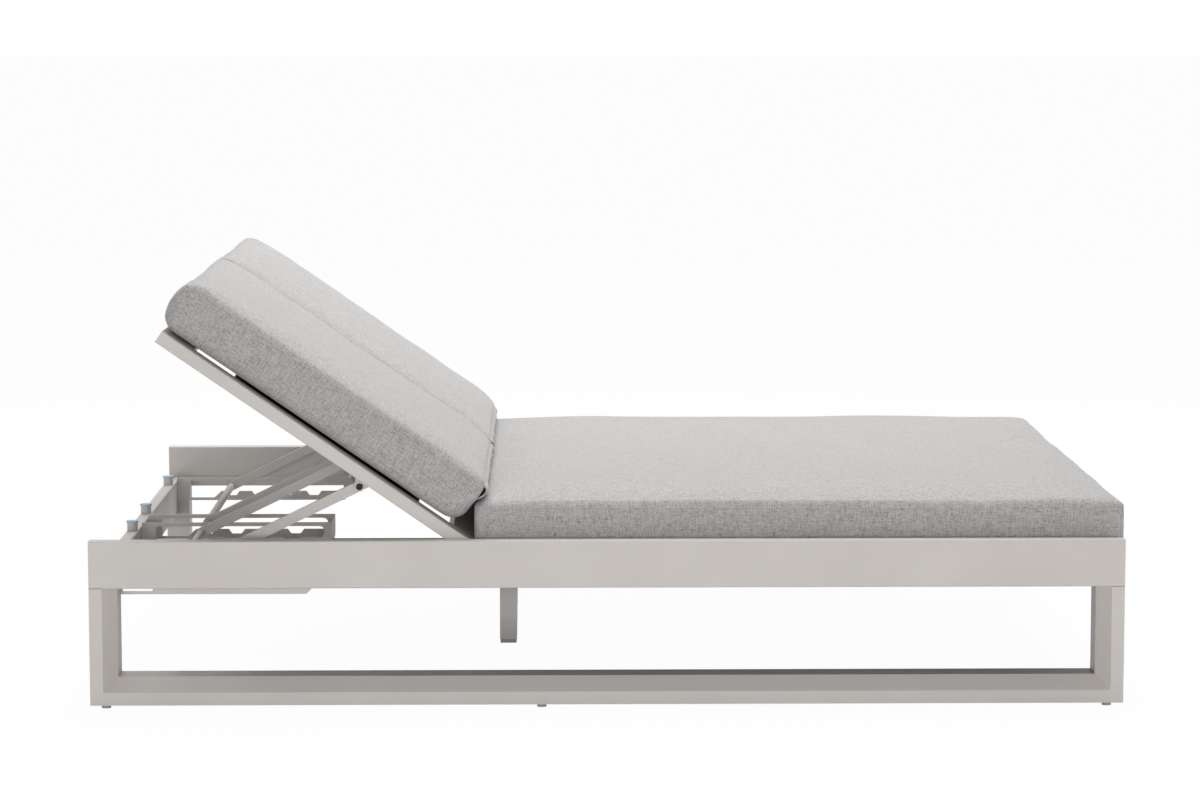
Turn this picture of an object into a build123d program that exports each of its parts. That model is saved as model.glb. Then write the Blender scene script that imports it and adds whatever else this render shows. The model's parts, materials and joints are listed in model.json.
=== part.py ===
"""Double chaise lounger: a sled-framed outdoor daybed for two, with one seat cushion and two backrests.

Each backrest turns on bolts at the hinge beam and is held up by a prop of two flat arms, whose cross
rod runs through the notched windows of two ratchet plates. Both backrests are modelled raised.

Frame: millimetres, +X from head to foot, +Y towards the left side of someone lying on it, +Z up.
The origin is on the floor, under the middle of the frame.
"""
import os
from math import cos, radians, sin

from build123d import *

os.makedirs("parts", exist_ok=True)

# Overall sizes
frame_length = 2000.0
frame_width = 1500.0
panel_height = 320.0
glide_height = 12.0

# Side rail: a tall, thin tube along the whole side
rail_height = 92.0
rail_depth = 30.0
tube_wall = 2.5
tube_corner = 3.0
plate_thickness = 3.0

# Sled: two posts and a sill in one deep profile with a bevelled window edge
sled_width = 52.0
sled_depth = 85.0
sled_bevel = 27.0
post_rise = 18.0

# Cross tubes
end_bar_width = 25.0
end_bar_height = 81.0
hinge_beam_width = 40.0
hinge_beam_height = 42.0
hinge_beam_x = -198.0
centre_beam_width = 40.0
centre_beam_height = 40.0
centre_beam_drop = 18.0
leg_foot_width = 36.5
leg_glide_height = 8.0
leg_glide_margin = 1.0

# Deck rails, shared by the seat and the backrests
deck_rail_width = 50.0
deck_rail_height = 25.0
deck_wall = 2.0
deck_corner = 2.5
keder_inset = 6.5
keder_drop = 4.5
keder_radius = 3.2
keder_slot = 2.2
bead_radius = 2.8
sling_thickness = 1.2

# Backrests
back_angle = 34.6
back_gap = 10.0
back_side_gap = 5.0
hinge_ahead = 22.0
rail_past_hinge = 15.0
back_reach = 757.0
head_rail_width = 70.0
foot_rail_width = 50.0
foot_rail_reach = 30.0
back_sling_start = 160.0
back_sling_end = 595.0
seat_sling_margin = 45.0

# Hinge and prop hardware
hinge_lug_thickness = 6.0
hinge_lug_radius = 14.0
hinge_lug_depth = 38.0
bolt_radius = 4.0
bolt_head_radius = 6.5
bolt_head_height = 5.0
thin_nut_height = 4.2
running_clearance = 0.1
seat_clearance = 0.3
side_clearance = 1.0

# Prop: two flat arms on a cross rod, with their pivots under the back rails
prop_pivot_reach = 274.0
prop_pivot_drop = 28.8
prop_arm_width = 20.0
prop_arm_thickness = 12.0
prop_rod_radius = 8.0
prop_rod_past_outer = 20.0
prop_rod_past_inner = 18.0
prop_ear_radius = 10.0
prop_ear_thickness = 5.0
prop_ear_root = 40.0
prop_ear_lap = 15.0
prop_arm_gap = 3.0

# Ratchet plates
plate_bottom = 203.0
plate_top = 256.0
tooth_top = 224.0
notch_floor = 214.0
parking_floor = 209.0
window_top = 248.0
rod_rest_height = 236.6
plate_depth = 4.0
outer_plate_gap = 60.0
inner_plate_y = 61.0
plate_foot_chamfer = 14.0
plate_foot_x = -573.0
window_foot_x = -591.0
window_end_radius = 9.0
rest_notch_x = -848.5
notch_floor_width = 20.0
notch_mouth_width = 35.0
notch_pitch = 63.5
notch_count = 4
rest_notch_index = 3
parking_length = 56.0
parking_end_gap = 30.0
parking_ramp = 16.0
bracket_width = 16.0
bracket_wall = 4.0
bracket_low = 229.0
bracket_high = 256.0

# Bumpers on the head crossbar and glides under the sills
bumper_radius = 12.5
bumper_inner_gap = 121.0
bumper_outer_gap = 132.0
bumper_cap_height = 3.5
bumper_skirt = 1.5
glide_radius = 9.0
glide_end_gap = 26.0
glide_right_x = -128.0
glide_left_x = -680.0

# Cushions
seat_cushion_thickness = 92.0
back_cushion_thickness = 102.0
cushion_crown = 16.0
cushion_draw = 16.0
cushion_end_round = 24.0
seat_cushion_head_round = 40.0
cushion_shoulder = 80.0
cushion_clearance = 0.5
seat_cushion_side_gap = 15.0
seat_cushion_head_x = -236.0
seat_cushion_foot_gap = 2.0
back_cushion_foot = 90.0
back_cushion_past_rail = 17.0
back_cushion_side_gap = 8.0
back_cushion_middle_gap = 3.0
cushion_end_rise_share = 0.30
cushion_end_draw_share = 1.4
cushion_end_crown_share = 0.12
cushion_edge_crown_share = 0.25
cushion_shoulder_crown_share = 0.75

# Heights above the floor
sill_bottom = glide_height
rail_top = sill_bottom + panel_height
rail_bottom = rail_top - rail_height
post_top = rail_bottom + post_rise
end_bar_top = post_top + plate_thickness
hinge_beam_bottom = rail_bottom
hinge_beam_top = hinge_beam_bottom + hinge_beam_height
centre_beam_top = hinge_beam_bottom - centre_beam_drop
deck_top = hinge_beam_top + deck_rail_height
deck_middle = hinge_beam_top + deck_rail_height / 2

# Places across and along the frame
half_length = frame_length / 2
half_width = frame_width / 2
rail_inner = half_width - rail_depth
sled_inner = half_width - sled_depth
head_bar_x = -half_length + end_bar_width / 2
head_bar_inner_x = -half_length + end_bar_width
hinge_beam_head_x = hinge_beam_x - hinge_beam_width / 2
hinge_x = hinge_beam_head_x - hinge_ahead
back_outer = rail_inner - back_side_gap
back_inner = back_gap / 2
back_middle = (back_outer + back_inner) / 2
back_half_width = (back_outer - back_inner) / 2
bumper_inner_y = back_inner + bumper_inner_gap
bumper_outer_y = back_outer - bumper_outer_gap
outer_plate_y = rail_inner - outer_plate_gap

# The backrest's own directions at the modelled angle
lean = radians(back_angle)
back_along = Vector(-cos(lean), 0, sin(lean))
back_up = Vector(sin(lean), 0, cos(lean))
hinge_point = Vector(hinge_x, 0, deck_middle)
across = Vector(0, 1, 0)

# Ratchet plate heights count from the sill's underside
plate_low_z = sill_bottom + plate_bottom
plate_high_z = sill_bottom + plate_top
tooth_z = sill_bottom + tooth_top
notch_z = sill_bottom + notch_floor
parking_z = sill_bottom + parking_floor
window_z = sill_bottom + window_top
rod_z = sill_bottom + rod_rest_height


def on_back(reach: float, y: float, rise: float) -> Vector:
    """Give the point at a reach from the hinge, a place across the frame and a rise off the rail's middle."""
    return hinge_point + back_along * reach + across * y + back_up * rise


def save(part: Part, name: str) -> None:
    """Label one finished sub-part and write it to its own file."""
    part.label = name
    export_step(part, f"parts/{name}.step")


def rectangular_tube(plane: Plane, width: float, height: float, length: float, wall: float, corner: float) -> Part:
    """Extrude a hollow rectangular tube from a plane across its start."""
    with BuildPart() as tube:
        with BuildSketch(plane):
            RectangleRounded(width, height, corner)
            Rectangle(width - 2 * wall, height - 2 * wall, mode=Mode.SUBTRACT)
        extrude(amount=length)
    return tube.part


def cross_tube(x: float, z: float, width: float, height: float, half_span: float) -> Part:
    """Make a tube across the frame, centred on x and z."""
    plane = Plane(origin=(x, -half_span, z), x_dir=(1, 0, 0), z_dir=(0, 1, 0))
    return rectangular_tube(plane, width, height, 2 * half_span, tube_wall, tube_corner)


def mirrored(part: Part) -> Part:
    """Mirror a right-hand piece to the left side."""
    with BuildPart() as twin:
        mirror(part, about=Plane.XZ)
    return twin.part


def save_pair(part: Part, name: str) -> None:
    """Write a right-hand piece and its left-hand twin."""
    save(part, f"{name}_right")
    save(mirrored(part), f"{name}_left")


# Side rails, closed by end plates
rail_start = -half_length + plate_thickness
side_rail_plane = Plane(
    origin=(rail_start, -(half_width + rail_inner) / 2, rail_top - rail_height / 2),
    x_dir=(0, 1, 0),
    z_dir=(1, 0, 0),
)
with BuildPart() as side_rail:
    with BuildSketch(side_rail_plane):
        RectangleRounded(rail_depth, rail_height, tube_corner)
        Rectangle(rail_depth - 2 * tube_wall, rail_height - 2 * tube_wall, mode=Mode.SUBTRACT)
    extrude(amount=-2 * rail_start)
save_pair(side_rail.part, "side_rail")

with BuildPart() as rail_end_plates:
    for side in (-1, 1):
        for end in (-half_length, -rail_start):
            end_plane = Plane(
                origin=(end, side * (half_width + rail_inner) / 2, rail_top - rail_height / 2),
                x_dir=(0, 1, 0),
                z_dir=(1, 0, 0),
            )
            with BuildSketch(end_plane):
                RectangleRounded(rail_depth, rail_height, tube_corner)
            extrude(amount=plate_thickness)
save(rail_end_plates.part, "rail_end_plates")

# Sled: the sill and posts share one bevelled profile, mitred at the bottom corners
window_floor = sill_bottom + sled_width
mitre_head = Plane(
    origin=(-half_length, 0, sill_bottom), x_dir=(0, 1, 0), z_dir=(1, 0, -1)
)
mitre_foot = Plane(
    origin=(half_length, 0, sill_bottom), x_dir=(0, 1, 0), z_dir=(-1, 0, -1)
)
with BuildPart() as sill:
    with BuildSketch(Plane(origin=(-half_length, 0, 0), x_dir=(0, 1, 0), z_dir=(1, 0, 0))):
        with BuildLine():
            Polyline(
                (-half_width, sill_bottom),
                (-sled_inner, sill_bottom),
                (-sled_inner, window_floor),
                (-half_width + sled_bevel, window_floor),
                (-half_width, window_floor - sled_bevel),
                close=True,
            )
        make_face()
        offset(amount=-tube_wall, mode=Mode.SUBTRACT)
    extrude(amount=frame_length)
    split(bisect_by=mitre_head, keep=Keep.TOP)
    split(bisect_by=mitre_foot, keep=Keep.TOP)
save_pair(sill.part, "sill")


def sled_post(outer_x: float, inward: float, mitre: Plane) -> Part:
    """Make a right-hand post from its outer end face, its inward direction along X and its mitre."""
    inner_x = outer_x + inward * sled_width
    with BuildPart() as post:
        with BuildSketch(Plane.XY.offset(sill_bottom)):
            with BuildLine():
                Polyline(
                    (outer_x, -half_width),
                    (inner_x - inward * sled_bevel, -half_width),
                    (inner_x, -half_width + sled_bevel),
                    (inner_x, -sled_inner),
                    (outer_x, -sled_inner),
                    close=True,
                )
            make_face()
            offset(amount=-tube_wall, mode=Mode.SUBTRACT)
        extrude(amount=post_top - sill_bottom)
        split(bisect_by=mitre, keep=Keep.BOTTOM)
        with BuildSketch(Plane.XY.offset(rail_bottom)):
            with Locations(((outer_x + inner_x) / 2, -(half_width + rail_inner) / 2)):
                Rectangle(2 * sled_width, rail_depth)
        extrude(amount=post_top, mode=Mode.SUBTRACT)
    return post.part


save_pair(sled_post(-half_length, 1, mitre_head), "head_post")
save_pair(sled_post(half_length, -1, mitre_foot), "foot_post")

with BuildPart() as post_caps:
    with BuildSketch(Plane.XY.offset(post_top)):
        with GridLocations(frame_length - sled_width, rail_inner + sled_inner, 2, 2):
            Rectangle(sled_width, rail_inner - sled_inner)
    extrude(amount=plate_thickness)
save(post_caps.part, "post_caps")

# Cross tubes of the base
save(
    cross_tube(head_bar_x, end_bar_top - end_bar_height / 2, end_bar_width, end_bar_height, sled_inner),
    "head_crossbar",
)
save(
    cross_tube(-head_bar_x, hinge_beam_top - end_bar_height / 2, end_bar_width, end_bar_height, sled_inner),
    "foot_crossbar",
)
save(
    cross_tube(
        hinge_beam_x, hinge_beam_top - hinge_beam_height / 2, hinge_beam_width, hinge_beam_height, rail_inner
    ),
    "hinge_beam",
)

# Centre beam from the head crossbar to the centre leg
centre_beam_plane = Plane(
    origin=(head_bar_inner_x, 0, centre_beam_top - centre_beam_height / 2),
    x_dir=(0, 1, 0),
    z_dir=(1, 0, 0),
)
centre_beam_length = hinge_beam_head_x - head_bar_inner_x
save(
    rectangular_tube(
        centre_beam_plane, centre_beam_width, centre_beam_height, centre_beam_length, tube_wall, tube_corner
    ),
    "centre_beam",
)
# Centre leg under the hinge beam: upright on its head side, tapering on its foot side, with a glide
leg_foot_x = hinge_beam_head_x + leg_foot_width / 2
with BuildPart() as centre_leg:
    with BuildSketch(Plane.XY.offset(leg_glide_height)):
        with Locations((leg_foot_x, 0)):
            Rectangle(leg_foot_width, centre_beam_width)
    with BuildSketch(Plane.XY.offset(hinge_beam_bottom)):
        with Locations((hinge_beam_x, 0)):
            Rectangle(hinge_beam_width, centre_beam_width)
    loft()
    with BuildSketch(Plane.XY.offset(leg_glide_height)):
        with Locations((leg_foot_x, 0)):
            Rectangle(leg_foot_width - 2 * tube_wall, centre_beam_width - 2 * tube_wall)
    extrude(amount=hinge_beam_bottom - leg_glide_height, mode=Mode.SUBTRACT)
save(centre_leg.part, "centre_leg")

with BuildPart() as centre_leg_glide:
    with BuildSketch(Plane.XY):
        with Locations((leg_foot_x, 0)):
            RectangleRounded(
                leg_foot_width - 2 * leg_glide_margin, centre_beam_width - 2 * leg_glide_margin, tube_corner
            )
    extrude(amount=leg_glide_height)
save(centre_leg_glide.part, "centre_leg_glide")

# Round glides under the sills
glide_x = half_length - glide_end_gap
glide_y = half_width - sled_depth / 2
with BuildPart() as sill_glides:
    with BuildSketch(Plane.XY):
        with Locations(*[(x, -glide_y) for x in (-glide_x, glide_right_x, glide_x)]):
            Circle(glide_radius)
        with Locations(*[(x, glide_y) for x in (-glide_x, glide_left_x, glide_x)]):
            Circle(glide_radius)
    extrude(amount=glide_height)
save(sill_glides.part, "sill_glides")

# Bumpers that carry the backrests when they lie flat
bumper_top = hinge_beam_top - seat_clearance
bumper_places = [
    (head_bar_x, side * place) for side in (-1, 1) for place in (bumper_inner_y, bumper_outer_y)
]
with BuildPart() as bumpers:
    with BuildSketch(Plane.XY.offset(end_bar_top)):
        with Locations(*bumper_places):
            Circle(bumper_radius - bumper_skirt)
    extrude(amount=bumper_top - bumper_cap_height - end_bar_top)
save(bumpers.part, "bumpers")

with BuildPart() as bumper_caps:
    with BuildSketch(Plane.XY.offset(bumper_top - bumper_cap_height)):
        with Locations(*bumper_places):
            Circle(bumper_radius)
    extrude(amount=bumper_cap_height)
save(bumper_caps.part, "bumper_caps")


def grooved_rail(plane: Plane, length: float, groove_sides: tuple) -> Part:
    """Extrude a deck rail with a keder groove in each listed side, where the sling's bead slides in."""
    groove_height = deck_rail_height / 2 - keder_drop
    groove_x = deck_rail_width / 2 - keder_inset
    web = keder_inset + keder_radius + deck_wall
    left_web = web if -1 in groove_sides else deck_wall
    right_web = web if 1 in groove_sides else deck_wall
    hollow_width = deck_rail_width - left_web - right_web
    with BuildPart() as rail:
        with BuildSketch(plane):
            RectangleRounded(deck_rail_width, deck_rail_height, deck_corner)
            with Locations(((left_web - right_web) / 2, 0)):
                Rectangle(hollow_width, deck_rail_height - 2 * deck_wall, mode=Mode.SUBTRACT)
            for side in groove_sides:
                with Locations((side * groove_x, groove_height)):
                    Circle(keder_radius, mode=Mode.SUBTRACT)
                with Locations((side * (groove_x + keder_inset / 2), groove_height)):
                    Rectangle(keder_inset, keder_slot, mode=Mode.SUBTRACT)
        extrude(amount=length)
    return rail.part


def sling(plane: Plane, half_span: float, length: float) -> Part:
    """Extrude a sling sheet with a bead along each side, from a plane centred between its two rails."""
    groove_height = deck_rail_height / 2 - keder_drop
    bead_place = half_span + keder_inset
    with BuildPart() as sheet:
        with BuildSketch(plane):
            with Locations((0, groove_height)):
                Rectangle(2 * bead_place, sling_thickness)
            with Locations((-bead_place, groove_height), (bead_place, groove_height)):
                Circle(bead_radius)
        extrude(amount=length)
    return sheet.part


# Seat deck: side, centre and foot rails with two slings
seat_rail_start = hinge_beam_head_x + side_clearance
seat_rail_end = half_length - deck_rail_width
seat_rail_length = seat_rail_end - seat_rail_start
seat_rail_y = rail_inner - deck_rail_width / 2
along_x = {"x_dir": (0, 1, 0), "z_dir": (1, 0, 0)}
seat_rail = grooved_rail(
    Plane(origin=(seat_rail_start, -seat_rail_y, deck_middle), **along_x), seat_rail_length, (1,)
)
save_pair(seat_rail, "seat_rail")
save(
    grooved_rail(Plane(origin=(seat_rail_start, 0, deck_middle), **along_x), seat_rail_length, (-1, 1)),
    "seat_rail_centre",
)
seat_foot_rail_plane = Plane(
    origin=(half_length - deck_rail_width / 2, -rail_inner, deck_middle), x_dir=(1, 0, 0), z_dir=(0, 1, 0)
)
save(
    rectangular_tube(
        seat_foot_rail_plane, deck_rail_width, deck_rail_height, 2 * rail_inner, deck_wall, deck_corner
    ),
    "seat_foot_rail",
)
bay_outer = rail_inner - deck_rail_width
bay_inner = deck_rail_width / 2
seat_sling = sling(
    Plane(
        origin=(seat_rail_start + seat_sling_margin, -(bay_outer + bay_inner) / 2, deck_middle), **along_x
    ),
    (bay_outer - bay_inner) / 2,
    seat_rail_length - 2 * seat_sling_margin,
)
save_pair(seat_sling, "seat_sling")

# Backrest frames: side rails with sling grooves, joined by a head rail and a foot rail
rail_offset = deck_rail_width / 2
outer_rail_y = back_outer - rail_offset
inner_rail_y = back_inner + rail_offset
back_rail_inside = back_half_width - deck_rail_width
back_rail_length = back_reach + rail_past_hinge - plate_thickness


def back_rail(y: float, groove_side: int) -> Part:
    """Make one side rail of the right backrest, bored for its hinge bolt."""
    start = on_back(-rail_past_hinge, y, 0)
    rail_body = grooved_rail(
        Plane(origin=start, x_dir=-across, z_dir=back_along), back_rail_length, (groove_side,)
    )
    with BuildPart() as rail:
        add(rail_body)
        with BuildSketch(Plane(origin=hinge_point + across * y, x_dir=(1, 0, 0), z_dir=(0, 1, 0))):
            Circle(bolt_radius + running_clearance)
        extrude(amount=deck_rail_width, both=True, mode=Mode.SUBTRACT)
    return rail.part


def back_cross_rail(reach: float, width: float) -> Part:
    """Make a cross rail of the right backrest, between its side rails, from its nearer reach."""
    plane = Plane(
        origin=on_back(reach + width / 2, -back_middle - back_rail_inside, 0), x_dir=back_along, z_dir=across
    )
    return rectangular_tube(plane, width, deck_rail_height, 2 * back_rail_inside, deck_wall, deck_corner)


save_pair(back_rail(-outer_rail_y, -1), "back_outer_rail")
save_pair(back_rail(-inner_rail_y, 1), "back_inner_rail")
save_pair(back_cross_rail(back_reach - head_rail_width, head_rail_width), "back_head_rail")
save_pair(back_cross_rail(foot_rail_reach, foot_rail_width), "back_foot_rail")

with BuildPart() as back_rail_plugs:
    for plug_y in (-outer_rail_y, -inner_rail_y):
        plug_start = on_back(back_reach - plate_thickness, plug_y, 0)
        with BuildSketch(Plane(origin=plug_start, x_dir=-across, z_dir=back_along)):
            RectangleRounded(deck_rail_width, deck_rail_height, deck_corner)
        extrude(amount=plate_thickness)
save_pair(back_rail_plugs.part, "back_rail_plugs")

back_sling = sling(
    Plane(origin=on_back(back_sling_start, -back_middle, 0), x_dir=-across, z_dir=back_along),
    back_rail_inside,
    back_sling_end - back_sling_start,
)
save_pair(back_sling, "back_sling")

# Hinge lugs on the hinge beam, and their bolts through the back rails
outer_lug_y = back_outer - deck_rail_width - side_clearance - hinge_lug_thickness / 2
inner_lug_y = back_inner + deck_rail_width + side_clearance + hinge_lug_thickness / 2
with BuildPart() as hinge_lugs:
    for side in (-1, 1):
        for lug_y in (outer_lug_y, inner_lug_y):
            lug_plane = Plane(
                origin=(hinge_x, side * lug_y - hinge_lug_thickness / 2, deck_middle),
                x_dir=(1, 0, 0),
                z_dir=(0, -1, 0),
            )
            with BuildSketch(lug_plane):
                Circle(hinge_lug_radius)
                with BuildLine():
                    Polyline(
                        (-hinge_lug_radius, 0),
                        (hinge_ahead, -deck_rail_height / 2 - hinge_lug_depth),
                        (hinge_ahead, -deck_rail_height / 2),
                        (hinge_lug_radius, 0),
                        close=True,
                    )
                make_face()
                Circle(bolt_radius + running_clearance, mode=Mode.SUBTRACT)
            extrude(amount=-hinge_lug_thickness)
save(hinge_lugs.part, "hinge_lugs")


def bolt_between(point: Vector, head_y: float, tip_y: float, nut_height: float) -> Part:
    """Make a bolt along Y from the inner face of its head to its tip, with a nut on the tip."""
    way = 1 if tip_y > head_y else -1
    direction = across * way
    with BuildPart() as bolt:
        with BuildSketch(Plane(origin=point + across * head_y, x_dir=(1, 0, 0), z_dir=-direction)):
            Circle(bolt_head_radius)
        extrude(amount=bolt_head_height)
        with BuildSketch(Plane(origin=point + across * head_y, x_dir=(1, 0, 0), z_dir=direction)):
            Circle(bolt_radius)
        extrude(amount=abs(tip_y - head_y))
        with BuildSketch(Plane(origin=point + across * tip_y, x_dir=(1, 0, 0), z_dir=direction)):
            RegularPolygon(bolt_head_radius, 6)
        extrude(amount=nut_height)
    return bolt.part


outer_hinge_bolt = bolt_between(
    hinge_point,
    -(outer_lug_y - hinge_lug_thickness / 2),
    -(back_outer + seat_clearance),
    thin_nut_height,
)
inner_hinge_bolt = bolt_between(
    hinge_point,
    -(inner_lug_y + hinge_lug_thickness / 2),
    -(back_inner - seat_clearance),
    thin_nut_height,
)
with BuildPart() as hinge_bolts:
    for bolt_part in (outer_hinge_bolt, inner_hinge_bolt):
        add(bolt_part)
        mirror(bolt_part, about=Plane.XZ)
save(hinge_bolts.part, "hinge_bolts")

# Ratchet plates: each is closed round a long window, with notches along the window's lower edge
plate_length = plate_foot_x - head_bar_inner_x
parking_head_x = head_bar_inner_x + parking_end_gap
parking_foot_x = parking_head_x + parking_length
notch_places = [
    rest_notch_x + (rest_notch_index - index) * notch_pitch for index in range(notch_count)
]


def ratchet_plate(y: float) -> Part:
    """Make a ratchet plate centred on y.

    The window has a low bay at its head end, where the rod parks when the backrest lies flat, and
    a notch for each raised angle.
    """
    with BuildPart() as plate:
        with BuildSketch(Plane(origin=(0, y + plate_depth / 2, 0), x_dir=(1, 0, 0), z_dir=(0, -1, 0))):
            with BuildLine():
                Polyline(
                    (head_bar_inner_x, plate_low_z),
                    (plate_foot_x - plate_foot_chamfer, plate_low_z),
                    (plate_foot_x, plate_low_z + plate_foot_chamfer),
                    (plate_foot_x, plate_high_z),
                    (head_bar_inner_x, plate_high_z),
                    close=True,
                )
            make_face()
            with BuildLine():
                Polyline(
                    (parking_head_x, window_z),
                    (parking_head_x, parking_z),
                    (parking_foot_x, parking_z),
                    (parking_foot_x + parking_ramp, tooth_z),
                    (window_foot_x - window_end_radius, tooth_z),
                )
                RadiusArc(
                    (window_foot_x - window_end_radius, tooth_z),
                    (window_foot_x - window_end_radius, window_z),
                    -(window_z - tooth_z) / 2,
                )
                Line((window_foot_x - window_end_radius, window_z), (parking_head_x, window_z))
            make_face(mode=Mode.SUBTRACT)
            for notch_x in notch_places:
                with BuildLine():
                    Polyline(
                        (notch_x - notch_mouth_width / 2, tooth_z),
                        (notch_x - notch_floor_width / 2, notch_z),
                        (notch_x + notch_floor_width / 2, notch_z),
                        (notch_x + notch_mouth_width / 2, tooth_z),
                        close=True,
                    )
                make_face(mode=Mode.SUBTRACT)
        extrude(amount=plate_depth)
    return plate.part


save_pair(ratchet_plate(-outer_plate_y), "ratchet_plate_outer")
save_pair(ratchet_plate(-inner_plate_y), "ratchet_plate_inner")

with BuildPart() as ratchet_end_plate:
    with BuildSketch(Plane(origin=(plate_foot_x, 0, 0), x_dir=(0, 1, 0), z_dir=(1, 0, 0))):
        with Locations((0, (centre_beam_top + plate_high_z) / 2)):
            Rectangle(2 * inner_plate_y - plate_depth, plate_high_z - centre_beam_top)
    extrude(amount=-plate_depth)
save(ratchet_end_plate.part, "ratchet_end_plate")

bracket_reach = rail_inner - outer_plate_y - plate_depth / 2
with BuildPart() as ratchet_bracket:
    with BuildSketch(Plane.XY.offset(sill_bottom + bracket_low)):
        bracket_middle = plate_foot_x - bracket_width / 2
        with Locations((bracket_middle, -(rail_inner - bracket_reach / 2))):
            Rectangle(bracket_width, bracket_reach)
        with Locations((bracket_middle - bracket_wall, -(rail_inner - bracket_reach / 2))):
            Rectangle(bracket_width, bracket_reach - 2 * bracket_wall, mode=Mode.SUBTRACT)
    extrude(amount=bracket_high - bracket_low)
save_pair(ratchet_bracket.part, "ratchet_bracket")

# Props: each has two arms just inside its plates, and a rod that runs out through their windows
arm_outer_y = outer_plate_y - plate_depth / 2 - prop_arm_gap - prop_arm_thickness / 2
arm_inner_y = inner_plate_y + plate_depth / 2 + prop_arm_gap + prop_arm_thickness / 2
pivot_point = on_back(prop_pivot_reach, 0, -prop_pivot_drop)
rod_point = Vector(rest_notch_x, 0, rod_z)
prop_along = (rod_point - pivot_point).normalized()
prop_length = (rod_point - pivot_point).length


def prop_arm(y: float) -> Part:
    """Make a prop arm centred on y: a flat bar with round ends, bored for its bolt and for the rod."""
    arm_plane = Plane(
        origin=pivot_point + across * (y - prop_arm_thickness / 2), x_dir=prop_along, z_dir=across
    )
    with BuildPart() as arm:
        with BuildSketch(arm_plane):
            with Locations((prop_length / 2, 0)):
                SlotCenterToCenter(prop_length, prop_arm_width)
            Circle(bolt_radius + running_clearance, mode=Mode.SUBTRACT)
            with Locations((prop_length, 0)):
                Circle(prop_rod_radius, mode=Mode.SUBTRACT)
        extrude(amount=prop_arm_thickness)
    return arm.part


save_pair(prop_arm(-arm_outer_y), "prop_arm_outer")
save_pair(prop_arm(-arm_inner_y), "prop_arm_inner")

rod_outer_y = arm_outer_y + prop_arm_thickness / 2 + prop_rod_past_outer
rod_inner_y = arm_inner_y - prop_arm_thickness / 2 - prop_rod_past_inner
with BuildPart() as prop_rod:
    with BuildSketch(Plane(origin=rod_point - across * rod_outer_y, x_dir=(1, 0, 0), z_dir=(0, 1, 0))):
        Circle(prop_rod_radius)
    extrude(amount=rod_outer_y - rod_inner_y)
save_pair(prop_rod.part, "prop_rod")

# Ears on the inner sides of the back rails carry the props' pivot bolts
ear_outer_y = back_outer - deck_rail_width - prop_ear_thickness / 2
ear_inner_y = back_inner + deck_rail_width + prop_ear_thickness / 2
with BuildPart() as prop_ears:
    for ear_y in (ear_outer_y, ear_inner_y):
        ear_plane = Plane(
            origin=pivot_point - across * (ear_y - prop_ear_thickness / 2), x_dir=-back_along, z_dir=-across
        )
        ear_rise = prop_pivot_drop - deck_rail_height / 2
        with BuildSketch(ear_plane):
            Circle(prop_ear_radius)
            with BuildLine():
                Polyline(
                    (-prop_ear_radius, 0),
                    (-prop_ear_root / 2, ear_rise),
                    (-prop_ear_root / 2, ear_rise + prop_ear_lap),
                    (prop_ear_root / 2, ear_rise + prop_ear_lap),
                    (prop_ear_root / 2, ear_rise),
                    (prop_ear_radius, 0),
                    close=True,
                )
            make_face()
            Circle(bolt_radius, mode=Mode.SUBTRACT)
        extrude(amount=prop_ear_thickness)
save_pair(prop_ears.part, "prop_ears")

outer_prop_bolt = bolt_between(
    pivot_point,
    -(ear_outer_y + prop_ear_thickness / 2),
    -(arm_outer_y - prop_arm_thickness / 2 - seat_clearance),
    bolt_head_height,
)
inner_prop_bolt = bolt_between(
    pivot_point,
    -(ear_inner_y - prop_ear_thickness / 2),
    -(arm_inner_y + prop_arm_thickness / 2 + seat_clearance),
    bolt_head_height,
)
with BuildPart() as prop_bolts:
    add(outer_prop_bolt)
    add(inner_prop_bolt)
save_pair(prop_bolts.part, "prop_bolts")


def cushion(
    start: Vector, along: Vector, up: Vector, length: float, width: float, thickness: float, start_round: float
) -> Part:
    """Loft a cushion along its length: rounded ends, full shoulders and a crowned middle.

    Each station gives a place along the length, an inset at the sides, a bottom, a top and a crown.
    A cross-section is flat under, bulges at the sides and is crowned on top.
    """
    end_rise = cushion_end_rise_share * thickness
    end_inset = cushion_end_draw_share * cushion_draw
    end_crown = cushion_end_crown_share * cushion_crown
    edge_crown = cushion_edge_crown_share * cushion_crown
    shoulder_crown = cushion_shoulder_crown_share * cushion_crown
    stations = [
        (0, end_inset, end_rise, thickness - end_rise, end_crown),
        (start_round, 0, 0, thickness, edge_crown),
        (cushion_shoulder, 0, 0, thickness, shoulder_crown),
        (length / 2, 0, 0, thickness, cushion_crown),
        (length - cushion_shoulder, 0, 0, thickness, shoulder_crown),
        (length - cushion_end_round, 0, 0, thickness, edge_crown),
        (length, end_inset, end_rise, thickness - end_rise, end_crown),
    ]
    side_way = up.cross(along)
    with BuildPart() as pad:
        for place, inset, low, high, crown in stations:
            half = width / 2 - inset
            flat = half - cushion_draw
            with BuildSketch(Plane(origin=start + along * place, x_dir=side_way, z_dir=along)):
                with BuildLine():
                    Line((-flat, low), (flat, low))
                    ThreePointArc((flat, low), (half, (low + high) / 2), (flat, high))
                    ThreePointArc((flat, high), (0, high + crown), (-flat, high))
                    ThreePointArc((-flat, high), (-half, (low + high) / 2), (-flat, low))
                make_face()
        loft(ruled=True)
    return pad.part


seat_cushion_z = deck_top + cushion_clearance
seat_cushion = cushion(
    Vector(seat_cushion_head_x, 0, seat_cushion_z),
    Vector(1, 0, 0),
    Vector(0, 0, 1),
    half_length - seat_cushion_foot_gap - seat_cushion_head_x,
    2 * (rail_inner - seat_cushion_side_gap),
    seat_cushion_thickness,
    seat_cushion_head_round,
)
save(seat_cushion, "seat_cushion")

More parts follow.
